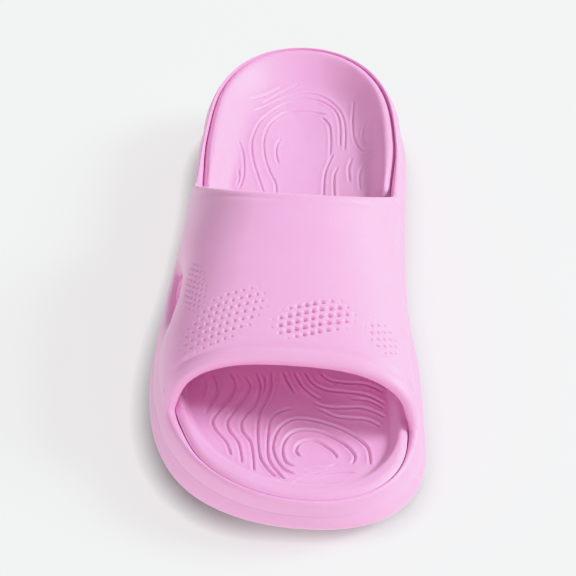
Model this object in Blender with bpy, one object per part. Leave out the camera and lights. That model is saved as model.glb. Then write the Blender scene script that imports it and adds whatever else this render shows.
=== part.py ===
"""Sport slide sandal of moulded foam, right shoe: a hollow upper, a contoured footbed and a lugged sole.

Metres, +Z up. The toe points to -Y, the inner (medial) side of the foot is +X, and the sole stands on z = 0.
"""
import bpy
import numpy as np

MM = 0.001

# Overall sizes
LENGTH = 262.0 * MM
BALL_WIDTH = 105.0 * MM
HEEL_RIM_HEIGHT = 41.0 * MM
HEEL_STACK = 24.0 * MM
REAR_EDGE_HEIGHT = 68.0 * MM
MOUTH_HEIGHT = 51.5 * MM

# Sole sizes
TOE_SPRING = 10.0 * MM
HEEL_BEVEL = 4.5 * MM
ARCH_RISE = 1.8 * MM
GROUND_INSET = 5.0 * MM
CREASE_INSET = 2.5 * MM
SCOOP_DEPTH = 3.2 * MM
FLARE_SHARE = 0.45
GROOVE_WIDTH = 3.6 * MM
GROOVE_DEPTH = 3.0 * MM
GROOVE_DRAFT = 0.6 * MM
GROOVE_BOW = 6.0 * MM

# Upper sizes
WALL = 4.5 * MM
RIM_INSET = 8.8 * MM
RIM_SHOULDER = 4.0 * MM
EDGE_ROUND = 0.6 * MM
EDGE_BAND = 1.2 * MM
LIP_BULGE = 1.2 * MM
CREST_SHIFT = 1.0 * MM
SILL_HEIGHT = 4.6 * MM
SILL_TUCK = 8.2 * MM
CORNER_RISE = 2.2 * MM
CORNER_RUN = 16.0 * MM

# Footbed sizes
GAP = 0.35 * MM
FOOTBED_THICKNESS = 4.5 * MM
LEDGE_DROP = 0.9 * MM
LEDGE_WIDTH = 3.0 * MM
LEDGE_ROUND = 0.6 * MM
LOW_LEDGE = 2.5 * MM
LEDGE_END_RUN = 7.0 * MM
CUP_RUN = 13.0 * MM
BED_DISH = 2.0 * MM
DISH_RUN = 22.0 * MM
ARCH_SUPPORT = 3.0 * MM
ARCH_SUPPORT_START = 0.4

# Outline of the flare: along is a share of LENGTH from the heel, across a share of BALL_WIDTH, + on the inner
# side, with OUTLINE_SAMPLES fine samples from each point to the next
OUTLINE_SAMPLES = 60
OUTLINE = [
    # along, across
    (0.000, 0.000),
    (0.035, -0.280),
    (0.120, -0.420),
    (0.240, -0.440),
    (0.400, -0.459),
    (0.560, -0.504),
    (0.700, -0.526),
    (0.820, -0.484),
    (0.920, -0.354),
    (0.980, -0.152),
    (1.000, 0.078),
    (0.978, 0.310),
    (0.900, 0.454),
    (0.780, 0.473),
    (0.660, 0.454),
    (0.540, 0.416),
    (0.400, 0.404),
    (0.240, 0.408),
    (0.120, 0.382),
    (0.035, 0.233),
]

# Heights and insets along the shoe, each a share of the size named in its column
STATIONS = {
    # along, rim (HEEL_RIM_HEIGHT), deck (HEEL_STACK), crease (CREASE_INSET), inset (RIM_INSET),
    # shoulder (RIM_SHOULDER), bed (FOOTBED_THICKNESS), ledge (LEDGE_WIDTH), cup (CUP_RUN)
    "along": (0.00, 0.12, 0.30, 0.50, 0.70, 0.86, 1.00),
    "rim": (0.970, 0.910, 0.850, 0.770, 0.700, 0.645, 0.605),
    "deck": (1.000, 0.940, 0.830, 0.740, 0.680, 0.690, 0.750),
    "crease": (1.00, 1.00, 1.00, 1.00, 0.95, 0.55, 0.35),
    "inset": (0.86, 1.00, 0.72, 0.95, 1.07, 0.80, 0.58),
    "shoulder": (0.45, 0.60, 0.85, 1.13, 1.10, 1.00, 0.95),
    "bed": (0.80, 0.90, 1.00, 1.20, 1.00, 0.90, 0.80),
    "ledge": (0.45, 0.75, 1.00, 1.00, 1.00, 1.15, 1.60),
    "cup": (1.30, 1.15, 0.75, 0.30, 0.25, 0.25, 0.22),
}
STATION_SIZES = {
    "rim": HEEL_RIM_HEIGHT,
    "deck": HEEL_STACK,
    "crease": CREASE_INSET,
    "inset": RIM_INSET,
    "shoulder": RIM_SHOULDER,
    "bed": FOOTBED_THICKNESS,
    "ledge": LEDGE_WIDTH,
    "cup": CUP_RUN,
}

# Side of the sole: height share from ground to deck, and the shares of GROUND_INSET and of the crease inset
# there. The flare is widest below FLARE_SHARE
SOLE_SIDE = [
    # height, ground share, crease share
    (0.00, 1.00, 0.00),
    (0.05, 0.62, 0.00),
    (0.18, 0.20, 0.00),
    (0.45, 0.00, 0.00),
    (0.72, 0.00, 0.35),
    (0.93, 0.00, 0.90),
    (1.00, 0.00, 1.25),
]

# Where the sole leaves the floor, where its inner side is hollowed and where the footbed's arch support
# lies, as shares of LENGTH from the heel. A span rises from its first to its second share and falls from
# the third on
HEEL_BEVEL_END = 0.07
ARCH_SPAN = (0.36, 0.44, 0.50, 0.58)
TOE_SPRING_START = 0.77
TOE_SPRING_POWER = 1.7
SCOOP_SPAN = (0.64, 0.70, 0.77, 0.87)
ARCH_SUPPORT_SPAN = (0.22, 0.42, 0.50, 0.68)

# Band: where its edges leave the side wall and cross the crest, as shares of LENGTH from the heel
REAR_LATERAL = 0.390
REAR_MEDIAL = 0.408
MOUTH_LATERAL = 0.838
MOUTH_MEDIAL = 0.853
REAR_CREST = 0.540
MOUTH_CREST = 0.822
# Band from its rear edge to the mouth: place along the crest, height share between mouth and rear edge,
# the roundness exponent of the arch, and the thickness as a share of WALL
CREST = {
    "place": (0.00, 0.25, 0.50, 0.75, 1.00),
    "height": (1.00, 0.80, 0.57, 0.30, 0.00),
    "exponent": (2.35, 2.40, 2.45, 2.55, 2.65),
    "thickness": (1.00, 0.95, 0.95, 1.00, 1.35),
}
# Rows of the arch over its sill, as shares of its rise
ARCH_LIFTS = (0.42, 0.66, 0.84, 0.94, 0.985, 1.0)
# Sill on the outer side, where the band steps in behind the rim: share of SILL_TUCK at places along the band
SILL = {
    "place": (0.00, 0.22, 0.34, 0.50, 0.66, 0.78, 1.00),
    "tuck": (0.05, 0.05, 0.50, 1.00, 0.50, 0.05, 0.00),
}
# Share of the sill's tuck that the row above it takes
SILL_FOLLOW = 0.45

# Side wall under the rim: height and lean of its middle row, and how far its top rows lie under the rim, as a
# share of WALL
WALL_MIDDLE = 0.5
WALL_LEAN = 0.2
RIM_DROP_OUTER = 0.15
RIM_DROP_INNER = 0.25

# Divisions of the upper's ring: around the heel, along each side of the band, and around the toe. Those of
# the heel are closer together near the band, and those of the band near its vent, by the easing's share
HEEL_COLUMNS = 20
HEEL_EASING = 0.45
BAND_EASING = -0.30
BAND_COLUMNS = 9
TOE_COLUMNS = 12
# Columns of the band between which the vent is open under its outer edge
VENT_COLUMNS = (3, 6)
# Shares of the wall's thickness at which its bottom edge and its lips have extra rows
BOTTOM_SHARES = (0.2, 0.8)
LIP_SHARES = (0.5,)

# Where the tread's grooves cross, as shares of LENGTH from the heel
HEEL_GROOVES = (0.085, 0.140, 0.195, 0.250, 0.305)
FOREFOOT_GROOVES = (0.610, 0.660, 0.710, 0.760, 0.810, 0.860, 0.910)

# Divisions of the sole and footbed: rungs from side to side, and columns down each side, COLUMN_SPACE apart
LADDER_STEPS = 6
SIDE_COLUMNS = 38
COLUMN_SPACE = 2.5 * MM

# The footbed's ledge: where it ends behind the band, how far before the mouth's corner it starts again on the
# outer side, and the shares of the cup's run at which its slope has rows
LEDGE_REAR_END = 0.352
LEDGE_FRONT_LEAD = 0.02
CUP_STEPS = (0.3, 0.65, 1.0)

FOAM_COLOUR = (0.84, 0.38, 0.68, 1.0)


def smooth_step(low, high, x):
    t = np.clip((x - low) / (high - low), 0.0, 1.0)
    return t * t * (3.0 - 2.0 * t)


def plateau(span, x):
    return smooth_step(span[0], span[1], x) * (1 - smooth_step(span[2], span[3], x))


def monotone(xs, ys, x):
    """Smooth curve through (xs, ys) that overshoots none of its points."""
    xs = np.asarray(xs, float)
    ys = np.asarray(ys, float)
    h = np.diff(xs)
    slope = np.diff(ys) / h
    m = np.zeros(len(xs))
    m[0] = slope[0]
    m[-1] = slope[-1]
    for i in range(1, len(xs) - 1):
        if slope[i - 1] * slope[i] > 0:
            before = 2 * h[i] + h[i - 1]
            after = h[i] + 2 * h[i - 1]
            m[i] = (before + after) / (before / slope[i - 1] + after / slope[i])
    x = np.clip(x, xs[0], xs[-1])
    i = np.clip(np.searchsorted(xs, x, side="right") - 1, 0, len(h) - 1)
    t = (x - xs[i]) / h[i]
    a = (1 + 2 * t) * (1 - t) ** 2 * ys[i] + t * (1 - t) ** 2 * h[i] * m[i]
    b = t * t * (3 - 2 * t) * ys[i + 1] + t * t * (t - 1) * h[i] * m[i + 1]
    return a + b


def closed_spline(points, per_span):
    """Closed smooth curve through the points, with its direction, at per_span samples between neighbours."""
    p = np.asarray(points, float)
    n = len(p)
    nxt = np.roll(p, -1, axis=0)
    h = np.linalg.norm(nxt - p, axis=1)
    slope = (nxt - p) / h[:, None]
    matrix = np.zeros((n, n))
    right = np.zeros_like(p)
    for i in range(n):
        before = h[i - 1]
        after = h[i]
        matrix[i, i - 1] = after
        matrix[i, i] = 2 * (before + after)
        matrix[i, (i + 1) % n] = before
        right[i] = 3 * (after * slope[i - 1] + before * slope[i])
    m = np.linalg.solve(matrix, right)
    place = []
    direction = []
    for i in range(n):
        j = (i + 1) % n
        for t in np.arange(per_span) / per_span:
            place.append((1 + 2 * t) * (1 - t) ** 2 * p[i] + t * (1 - t) ** 2 * h[i] * m[i]
                         + t * t * (3 - 2 * t) * p[j] + t * t * (t - 1) * h[i] * m[j])
            direction.append((6 * t * t - 6 * t) * (p[i] - p[j]) / h[i]
                             + (3 * t * t - 4 * t + 1) * m[i] + (3 * t * t - 2 * t) * m[j])
    return np.array(place), np.array(direction)


def make_ring():
    """The flare's outline as fine samples from the heel's end down the outer side, round the toe and back."""
    rows = [(across * BALL_WIDTH, LENGTH * (0.5 - along)) for along, across in OUTLINE]
    xy, direction = closed_spline(rows, OUTLINE_SAMPLES)
    inward = np.stack([-direction[:, 1], direction[:, 0]], axis=1)
    inward /= np.linalg.norm(inward, axis=1)[:, None]
    start = int(np.argmax(xy[:, 1]))
    xy = np.roll(xy, -start, axis=0)
    inward = np.roll(inward, -start, axis=0)
    low = xy.min(axis=0)
    high = xy.max(axis=0)
    xy -= (low + high) / 2
    xy[:, 1] *= LENGTH / (high[1] - low[1])
    step = np.linalg.norm(np.roll(xy, -1, axis=0) - xy, axis=1)
    arc = np.concatenate([[0.0], np.cumsum(step)])
    return {
        "xy": np.vstack([xy, xy[:1]]),
        "inward": np.vstack([inward, inward[:1]]),
        "arc": arc / arc[-1],
        "toe": int(np.argmin(xy[:, 1])),
    }


RING = make_ring()


def ring_at(arc):
    """Place, inward normal, along share and side (-1 outer, +1 inner) at shares of the outline's length."""
    arc = np.asarray(arc, float)
    xy = np.stack([np.interp(arc, RING["arc"], RING["xy"][:, k]) for k in (0, 1)], axis=-1)
    inward = np.stack([np.interp(arc, RING["arc"], RING["inward"][:, k]) for k in (0, 1)], axis=-1)
    inward /= np.linalg.norm(inward, axis=-1)[..., None]
    along = np.clip(0.5 - xy[..., 1] / LENGTH, 0.0, 1.0)
    side = np.where(arc <= RING["arc"][RING["toe"]], -1.0, 1.0)
    return {"xy": xy, "inward": inward, "along": along, "side": side}


def arc_at(along, side):
    """Share of the outline's length where it passes the along share on the outer (-1) or inner (+1) side."""
    toe = RING["toe"]
    share = 0.5 - RING["xy"][:, 1] / LENGTH
    if side < 0:
        return np.interp(along, share[: toe + 1], RING["arc"][: toe + 1])
    return np.interp(along, share[toe:][::-1], RING["arc"][toe:][::-1])


def station(name, along):
    return STATION_SIZES[name] * monotone(STATIONS["along"], STATIONS[name], along)


def ground_height(along):
    heel = HEEL_BEVEL * np.clip(1 - along / HEEL_BEVEL_END, 0, 1) ** 2
    arch = ARCH_RISE * plateau(ARCH_SPAN, along)
    toe = TOE_SPRING * np.clip((along - TOE_SPRING_START) / (1 - TOE_SPRING_START), 0, 1) ** TOE_SPRING_POWER
    return heel + arch + toe


def scoop(along, side):
    """Depth of the hollow that the inner side has beside the ball of the foot."""
    return SCOOP_DEPTH * plateau(SCOOP_SPAN, along) * (side > 0)


def crease_inset(ring):
    return station("crease", ring["along"]) + scoop(ring["along"], ring["side"])


def at_inset(ring, inset, z):
    xy = ring["xy"] + ring["inward"] * np.asarray(inset)[..., None]
    return np.concatenate([xy, (np.zeros(len(xy)) + z)[:, None]], axis=1)


def foam(name):
    material = bpy.data.materials.new(name)
    material.use_nodes = True
    shader = material.node_tree.nodes["Principled BSDF"]
    shader.inputs["Base Color"].default_value = FOAM_COLOUR
    shader.inputs["Roughness"].default_value = 0.62
    shader.inputs["Metallic"].default_value = 0.0
    return material


def add_object(name, verts, faces):
    mesh = bpy.data.meshes.new(name)
    mesh.from_pydata([tuple(map(float, v)) for v in verts], [], faces)
    mesh.validate()
    mesh.shade_smooth()
    mesh.materials.append(foam(name + "_foam"))
    obj = bpy.data.objects.new(name, mesh)
    bpy.context.scene.collection.objects.link(obj)
    return obj


def through_points(points):
    """Control points of the closed uniform cubic B-spline that passes through the points."""
    n = len(points)
    matrix = (np.eye(n) * 4 + np.roll(np.eye(n), 1, axis=1) + np.roll(np.eye(n), -1, axis=1)) / 6
    return np.linalg.solve(matrix, points)


def upper_columns():
    """Places of the upper's columns round the outline, from the band's rear corner on the outer side."""
    rear_l = arc_at(REAR_LATERAL, -1)
    mouth_l = arc_at(MOUTH_LATERAL, -1)
    mouth_m = arc_at(MOUTH_MEDIAL, 1)
    rear_m = arc_at(REAR_MEDIAL, 1)
    spans = [
        (rear_l, mouth_l, BAND_COLUMNS, BAND_EASING),
        (mouth_l, mouth_m, TOE_COLUMNS, 0.0),
        (mouth_m, rear_m, BAND_COLUMNS, BAND_EASING),
        (rear_m, rear_l + 1.0, HEEL_COLUMNS, HEEL_EASING),
    ]
    arcs = []
    for first, last, count, easing in spans:
        t = np.arange(count) / count
        arcs.append(first + (last - first) * (t - easing * np.sin(2 * np.pi * t) / (2 * np.pi)))
    return np.concatenate(arcs) % 1.0


def corner_rise(ring):
    """Height that the rim gains where it sweeps up into the band's rear edge."""
    rear = np.where(ring["side"] < 0, REAR_LATERAL, REAR_MEDIAL)
    run = CORNER_RUN / LENGTH
    return CORNER_RISE * (1 - smooth_step(0, run, np.abs(ring["along"] - rear)))


def upper_wall(ring):
    """Rows of the side wall from deck to rim, outer then inner, as control points of closed curves."""
    along = ring["along"]
    deck = station("deck", along) + GAP / 2
    rim = station("rim", along) + corner_rise(ring)
    height = rim - deck
    crease = crease_inset(ring)
    inner = station("inset", along)
    shoulder = inner - station("shoulder", along)
    outer_rows = [
        (crease + EDGE_ROUND, deck),
        (crease, deck + EDGE_BAND),
        (crease + WALL_LEAN * (shoulder - crease), deck + WALL_MIDDLE * height),
        (shoulder, rim - RIM_DROP_OUTER * WALL),
    ]
    inner_rows = [
        (inner, deck),
        (inner, deck + EDGE_BAND),
        (inner, deck + WALL_MIDDLE * height),
        (inner, rim - RIM_DROP_INNER * WALL),
    ]
    outer = [through_points(at_inset(ring, inset, z)) for inset, z in outer_rows]
    inside = [through_points(at_inset(ring, inset, z)) for inset, z in inner_rows]
    return outer, inside


def band_arch(lateral, medial):
    """Grid of the band's outer face: for each column the points between its two springing points."""
    columns = len(lateral)
    rows = []
    for k in range(columns):
        place = k / (columns - 1)
        base = (lateral[k] + medial[k]) / 2
        share = monotone(CREST["place"], CREST["height"], place)
        exponent = monotone(CREST["place"], CREST["exponent"], place)
        crest_z = MOUTH_HEIGHT + (REAR_EDGE_HEIGHT - MOUTH_HEIGHT) * share
        crest_y = LENGTH * (0.5 - (REAR_CREST + (MOUTH_CREST - REAR_CREST) * place))
        rise = crest_z - base[2]
        lifts = (SILL_HEIGHT / rise,) + ARCH_LIFTS
        row = []
        for lift in lifts + lifts[-2::-1]:
            half = (1 - min(lift, 1.0) ** exponent) ** (1 / exponent)
            sign = -1 if len(row) < len(lifts) else 1
            tau = 0.5 + 0.5 * sign * half
            point = lateral[k] + (medial[k] - lateral[k]) * tau
            point = point + np.array([CREST_SHIFT, crest_y - base[1], rise]) * lift
            row.append(point)
        rows.append(row)
    return np.array(rows)


def face_normals(grid, edge_low, edge_high):
    """Unit normals of a grid of points, whose rows run between two lines of points at its sides."""
    full = np.concatenate([edge_low[:, None], grid, edge_high[:, None]], axis=1)
    across = np.gradient(full, axis=1)[:, 1:-1]
    lengthwise = np.gradient(grid, axis=0)
    normal = np.cross(across, lengthwise)
    normal /= np.linalg.norm(normal, axis=2)[..., None]
    if normal[..., 2].mean() < 0:
        normal = -normal
    return normal


def upper_cage():
    """Closed control cage of the upper: outer and inner sheets, joined round the openings and underneath."""
    arcs = upper_columns()
    ring = ring_at(arcs)
    count = len(arcs)
    outer_wall, inner_wall = upper_wall(ring)
    lateral = np.arange(0, BAND_COLUMNS + 1)
    medial = np.arange(2 * BAND_COLUMNS + TOE_COLUMNS, BAND_COLUMNS + TOE_COLUMNS - 1, -1)
    low = outer_wall[-1][lateral]
    high = outer_wall[-1][medial]
    arch = band_arch(low, high)
    normal = face_normals(arch, low, high)
    place = np.arange(BAND_COLUMNS + 1) / BAND_COLUMNS
    tuck = SILL_TUCK * monotone(SILL["place"], SILL["tuck"], place)[:, None]
    arch[:, 0] -= normal[:, 0] * tuck
    arch[:, 1] -= normal[:, 1] * tuck * SILL_FOLLOW
    inner_arch = arch - normal * (WALL * monotone(CREST["place"], CREST["thickness"], place))[:, None, None]

    outer = []
    inner = []
    wall_rows = len(outer_wall)
    for row in range(wall_rows):
        outer.extend(outer_wall[row])
        inner.extend(inner_wall[row])
    arch_start = len(outer)
    arch_count = arch.shape[1]
    outer.extend(arch.reshape(-1, 3))
    inner.extend(inner_arch.reshape(-1, 3))

    def wall(row, column):
        return row * count + column % count

    def band(k, r):
        if r == 0:
            return wall(wall_rows - 1, lateral[k])
        if r == arch_count + 1:
            return wall(wall_rows - 1, medial[k])
        return arch_start + k * arch_count + r - 1

    faces = []
    for row in range(wall_rows - 1):
        for c in range(count):
            faces.append((wall(row, c), wall(row, c + 1), wall(row + 1, c + 1), wall(row + 1, c)))
    for k in range(BAND_COLUMNS):
        for r in range(arch_count + 1):
            if r == 0 and VENT_COLUMNS[0] <= k < VENT_COLUMNS[1]:
                continue
            faces.append((band(k, r), band(k + 1, r), band(k + 1, r + 1), band(k, r + 1)))
    return thick_sheet(np.array(outer), np.array(inner), faces, count)


def thick_sheet(outer, inner, faces, bottom_count):
    """Joins an outer and an inner sheet of the same faces round their edges, bottom points first."""
    size = len(outer)
    verts = list(outer) + list(inner)
    solid = [tuple(f) for f in faces] + [tuple(v + size for v in reversed(f)) for f in faces]
    edges = set()
    for f in faces:
        for a, b in zip(f, f[1:] + f[:1]):
            edges.add((a, b))
    border = [(a, b) for a, b in edges if (b, a) not in edges]
    after = dict(border)
    before = {b: a for a, b in border}
    chains = {}
    for v in sorted(after):
        thickness = outer[v] - inner[v]
        if v < bottom_count:
            shares = BOTTOM_SHARES
            bulge = np.zeros(3)
        else:
            shares = LIP_SHARES
            tangent = outer[after[v]] - outer[before[v]]
            bulge = np.cross(tangent, thickness)
            bulge *= LIP_BULGE / np.linalg.norm(bulge)
        chain = [v]
        for share in shares:
            chain.append(len(verts))
            verts.append(outer[v] - thickness * share + bulge)
        chain.append(v + size)
        chains[v] = chain
    for a, b in sorted(border):
        for i in range(len(chains[a]) - 1):
            solid.append((chains[b][i], chains[a][i], chains[a][i + 1], chains[b][i + 1]))
    return np.array(verts), solid


def build_upper():
    verts, faces = upper_cage()
    upper = add_object("upper", verts, faces)
    smooth = upper.modifiers.new("smooth", "SUBSURF")
    smooth.levels = 1
    smooth.render_levels = 1
    return upper


def side_shares(extra):
    """Along shares of one side's columns, close together at both ends, with the extra ones kept exact."""
    plain = (1 - np.cos(np.pi * np.arange(SIDE_COLUMNS + 1) / SIDE_COLUMNS)) / 2
    kept = [a for a in plain if all(abs(a - e) > COLUMN_SPACE / LENGTH for e in extra)]
    return np.array(sorted(set(kept) | set(extra)))


def full_ring(shares):
    """Ring of columns at the along shares, down the outer side and back up the inner one."""
    outer_side = [0.0] + [arc_at(a, -1) for a in shares[1:-1]] + [RING["arc"][RING["toe"]]]
    inner_side = [arc_at(a, 1) for a in shares[-2:0:-1]]
    return ring_at(np.array(outer_side + inner_side))


def ladder(points, ring, steps, place):
    """Fills a closed ring of columns with rungs from side to side. Returns the new points and the faces."""
    count = len(ring)
    half = count // 2
    rungs = [[ring[0]]]
    extra = []
    for c in range(1, half):
        a = points[ring[c]]
        b = points[ring[count - c]]
        rung = [ring[c]]
        for s in range(1, steps):
            rung.append(len(points) + len(extra))
            extra.append(place(a, b, s / steps))
        rung.append(ring[count - c])
        rungs.append(rung)
    rungs.append([ring[half]])
    faces = []
    for first, second in zip(rungs, rungs[1:]):
        if len(first) == 1:
            faces.extend((first[0], second[s], second[s + 1]) for s in range(steps))
        elif len(second) == 1:
            faces.extend((first[s], second[0], first[s + 1]) for s in range(steps))
        else:
            faces.extend((first[s], second[s], second[s + 1], first[s + 1]) for s in range(steps))
    return extra, faces


def stack_rings(rings, steps, bottom_place, top_place):
    """Closed solid of rings stacked from the bottom to the top, with a ladder across each end."""
    count = len(rings[0])
    points = [p for ring in rings for p in ring]
    faces = []
    for r in range(len(rings) - 1):
        for c in range(count):
            d = (c + 1) % count
            faces.append((r * count + c, r * count + d, (r + 1) * count + d, (r + 1) * count + c))
    extra, low = ladder(points, list(range(count)), steps, bottom_place)
    points.extend(extra)
    faces.extend(tuple(reversed(f)) for f in low)
    last = (len(rings) - 1) * count
    extra, high = ladder(points, list(range(last, last + count)), steps, top_place)
    points.extend(extra)
    faces.extend(high)
    return points, faces


def groove_shares():
    """Along shares of each groove's four lines: its two edges, and its floor's two edges between them."""
    half = GROOVE_WIDTH / 2 / LENGTH
    draft = GROOVE_DRAFT / LENGTH
    lines = []
    for middle in HEEL_GROOVES + FOREFOOT_GROOVES:
        lines.append((middle - half, middle - half + draft, middle + half - draft, middle + half))
    return lines


def groove_lift(along):
    """Height of the tread's floor over the ground face: 0 on a lug, GROOVE_DEPTH in a groove."""
    lift = np.zeros(len(along))
    for a, b, c, d in groove_shares():
        inside = np.minimum((along - a) / (b - a), (d - along) / (d - c))
        lift = np.maximum(lift, GROOVE_DEPTH * np.clip(inside, 0, 1))
    return lift


def sole_side(ring, share, lift):
    """One ring of the sole's side at a height share, kept above the grooves that cut its lower edge."""
    along = ring["along"]
    ground = ground_height(along)
    deck = station("deck", along) - GAP / 2
    start = lift / (deck - ground)
    raised = start + (FLARE_SHARE - start) * share / FLARE_SHARE
    share = np.where(share < FLARE_SHARE, raised, share)
    heights = [row[0] for row in SOLE_SIDE]
    inset = GROUND_INSET * monotone(heights, [row[1] for row in SOLE_SIDE], share)
    inset = inset + crease_inset(ring) * monotone(heights, [row[2] for row in SOLE_SIDE], share)
    return at_inset(ring, inset, ground + (deck - ground) * share)


def build_sole():
    shares = side_shares([a for lines in groove_shares() for a in lines])
    ring = full_ring(shares)
    lift = groove_lift(ring["along"])
    rings = [sole_side(ring, row[0], lift) for row in SOLE_SIDE]

    def tread(a, b, tau):
        point = a + (b - a) * tau
        bow = GROOVE_BOW * 4 * tau * (1 - tau) * (np.linalg.norm(b - a) / BALL_WIDTH) ** 2
        point[1] -= bow
        return point

    def deck(a, b, tau):
        return a + (b - a) * tau

    verts, faces = stack_rings(rings, LADDER_STEPS, tread, deck)
    return add_object("sole", verts, faces)


def ledge_share(along, side):
    """1 where the footbed's edge stands up as a ledge at heel and toe, 0 where it runs low under the band."""
    run = LEDGE_END_RUN / LENGTH
    front = np.where(side < 0, MOUTH_LATERAL - LEDGE_FRONT_LEAD, MOUTH_MEDIAL)
    return 1 - plateau((LEDGE_REAR_END, LEDGE_REAR_END + run, front - run, front), along)


def bed_height(x, along):
    """Height of the footbed's face, without the dish along its edge."""
    base = station("deck", along) + station("bed", along)
    arch = ARCH_SUPPORT * plateau(ARCH_SUPPORT_SPAN, along)
    return base + arch * np.clip(x / (ARCH_SUPPORT_START * BALL_WIDTH), 0, 1) ** 2


def build_footbed():
    shares = side_shares([])
    ring = full_ring(shares)
    along = ring["along"]
    side = ring["side"]
    start = station("inset", along) + GAP
    width = station("ledge", along)
    cup = station("cup", along)
    foot_xy = at_inset(ring, start + width + cup, 0)
    foot = bed_height(foot_xy[:, 0], 0.5 - foot_xy[:, 1] / LENGTH) + BED_DISH
    deck = station("deck", along) + GAP / 2
    top = station("rim", along) - LEDGE_DROP
    low = np.minimum(foot + LOW_LEDGE, top)
    ledge = low + (top - low) * ledge_share(along, side)
    rings = [
        at_inset(ring, start + LEDGE_ROUND, deck),
        at_inset(ring, start, deck + LEDGE_ROUND),
        at_inset(ring, start, ledge - LEDGE_ROUND),
        at_inset(ring, start + LEDGE_ROUND, ledge),
        at_inset(ring, start + width - LEDGE_ROUND, ledge),
        at_inset(ring, start + width, ledge - LEDGE_ROUND),
    ]
    for run in CUP_STEPS:
        height = (ledge - LEDGE_ROUND - foot) * (1 - np.sin(run * np.pi / 2))
        rings.append(at_inset(ring, start + width + cup * run, foot + height))

    def underside(a, b, tau):
        return a + (b - a) * tau

    def bed(a, b, tau):
        point = a + (b - a) * tau
        span = np.linalg.norm(b - a)
        from_end = min(foot_xy[:, 1].max() - point[1], point[1] - foot_xy[:, 1].min())
        inside = min(span * min(tau, 1 - tau), from_end)
        share = 0.5 - point[1] / LENGTH
        point[2] = bed_height(point[0], share) + BED_DISH * (1 - smooth_step(0, DISH_RUN, inside))
        return point

    verts, faces = stack_rings(rings, LADDER_STEPS, underside, bed)
    return add_object("footbed", verts, faces)


for old in list(bpy.data.objects):
    bpy.data.objects.remove(old, do_unlink=True)
build_sole()
build_footbed()
build_upper()
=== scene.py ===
"""Looks of the sport slide sandal: fine meshes of the upper, footbed and sole, their foam, and the studio."""
import math
import bmesh
import bpy
import numpy as np
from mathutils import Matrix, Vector
from mathutils.kdtree import KDTree


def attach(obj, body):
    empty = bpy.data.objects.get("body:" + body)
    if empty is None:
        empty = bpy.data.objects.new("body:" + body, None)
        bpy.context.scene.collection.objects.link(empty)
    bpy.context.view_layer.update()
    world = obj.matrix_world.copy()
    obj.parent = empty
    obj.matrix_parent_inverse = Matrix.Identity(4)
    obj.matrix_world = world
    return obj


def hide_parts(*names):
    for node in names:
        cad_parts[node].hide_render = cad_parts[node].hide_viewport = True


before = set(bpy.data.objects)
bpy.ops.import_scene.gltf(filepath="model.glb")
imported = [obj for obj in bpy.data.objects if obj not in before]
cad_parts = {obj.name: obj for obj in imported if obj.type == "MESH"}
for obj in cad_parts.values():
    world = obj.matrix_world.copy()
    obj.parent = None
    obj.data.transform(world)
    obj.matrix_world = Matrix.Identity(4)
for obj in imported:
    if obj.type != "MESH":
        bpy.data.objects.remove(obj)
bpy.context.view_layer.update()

MM = 0.001

# Overall sizes
LENGTH = 262.0 * MM
BALL_WIDTH = 105.0 * MM
HEEL_RIM_HEIGHT = 41.0 * MM
HEEL_STACK = 24.0 * MM
REAR_EDGE_HEIGHT = 68.0 * MM
MOUTH_HEIGHT = 51.5 * MM

# Sole sizes
TOE_SPRING = 10.0 * MM
HEEL_BEVEL = 4.5 * MM
ARCH_RISE = 1.8 * MM
GROUND_INSET = 5.0 * MM
CREASE_INSET = 2.5 * MM
SCOOP_DEPTH = 3.2 * MM
FLARE_SHARE = 0.45
GROOVE_WIDTH = 3.6 * MM
GROOVE_DEPTH = 3.0 * MM
GROOVE_DRAFT = 0.6 * MM
GROOVE_BOW = 6.0 * MM

# Upper sizes
WALL = 4.5 * MM
RIM_INSET = 8.8 * MM
RIM_SHOULDER = 4.0 * MM
EDGE_ROUND = 0.05 * MM
EDGE_BAND = 0.35 * MM
LIP_BULGE = 1.2 * MM
CREST_SHIFT = 1.0 * MM
SILL_HEIGHT = 4.6 * MM
SILL_TUCK = 8.2 * MM
CORNER_RISE = 2.2 * MM
CORNER_RUN = 16.0 * MM

# Footbed sizes
# The joints are pressed nearly shut on the real shoe, so they are drawn closer than the solids lie
GAP = 0.02 * MM
FOOTBED_THICKNESS = 4.5 * MM
# Ledge: its crest over the rim, and its bevel's fall from there out to the rim, over LEDGE_FALL_RUN at most
LEDGE_CREST = 0.45 * MM
LEDGE_FALL = 2.1 * MM
LEDGE_FALL_RUN = 2.4 * MM
LEDGE_FALL_POWER = 1.25
LEDGE_WIDTH = 3.0 * MM
LEDGE_ROUND = 0.45 * MM
CUP_SOFTNESS = 0.9 * MM
LOW_LEDGE = 2.5 * MM
LEDGE_END_RUN = 7.0 * MM
CUP_RUN = 13.0 * MM
BED_DISH = 2.0 * MM
DISH_RUN = 22.0 * MM
ARCH_SUPPORT = 3.0 * MM
ARCH_SUPPORT_START = 0.4

# Outline of the flare: along is a share of LENGTH from the heel, across a share of BALL_WIDTH, + on the inner
# side, with OUTLINE_SAMPLES fine samples from each point to the next
OUTLINE_SAMPLES = 60
OUTLINE = [
    # along, across
    (0.000, 0.000),
    (0.035, -0.280),
    (0.120, -0.420),
    (0.240, -0.440),
    (0.400, -0.459),
    (0.560, -0.504),
    (0.700, -0.526),
    (0.820, -0.484),
    (0.920, -0.354),
    (0.980, -0.152),
    (1.000, 0.078),
    (0.978, 0.310),
    (0.900, 0.454),
    (0.780, 0.473),
    (0.660, 0.454),
    (0.540, 0.416),
    (0.400, 0.404),
    (0.240, 0.408),
    (0.120, 0.382),
    (0.035, 0.233),
]

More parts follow.
